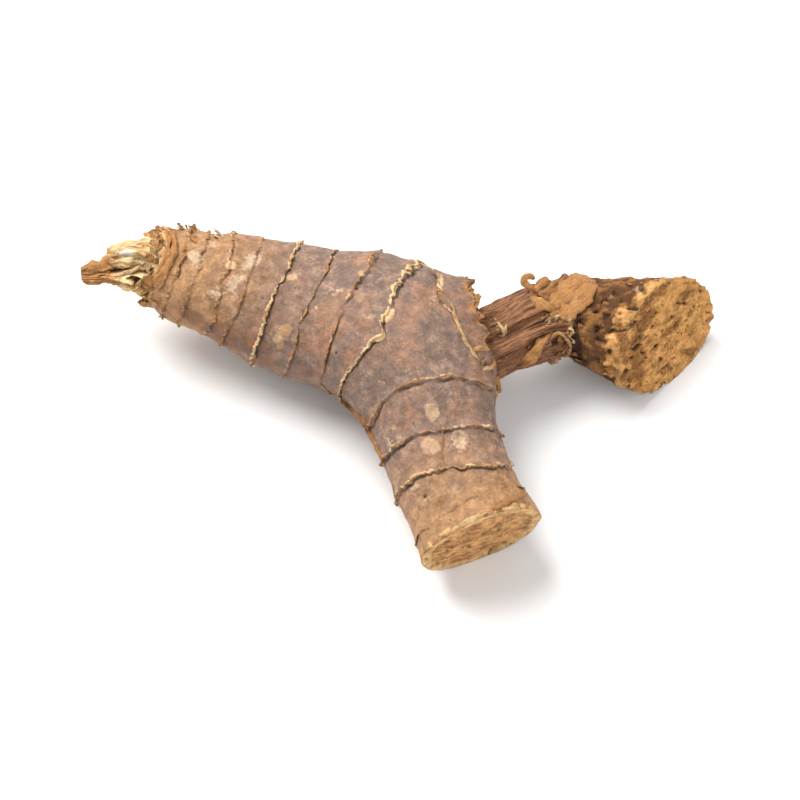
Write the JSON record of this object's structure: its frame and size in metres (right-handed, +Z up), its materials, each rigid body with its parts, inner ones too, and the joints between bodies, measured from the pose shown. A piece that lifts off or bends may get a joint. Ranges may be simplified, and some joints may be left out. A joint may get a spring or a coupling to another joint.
{
  "type": "lesser galangal root",
  "caption": "Dried forked rhizome with ringed leaf scars, a torn shoot end, an elbow, and a side branch with a flared slanting cut.",
  "frame": {"origin": "the middle of the bounding box's base, on the surface that the rhizome lies on", "axes": "+X along the rhizome from its torn shoot end towards its side branch, +Y from the cut end of the stem towards the back, +Z up from the surface"},
  "size_m": [0.0744, 0.041, 0.0178],
  "materials": {
    "bark": "matte"
  },
  "bodies": {
    "root": {"rhizome": "bark"}
  },
  "joints": []
}
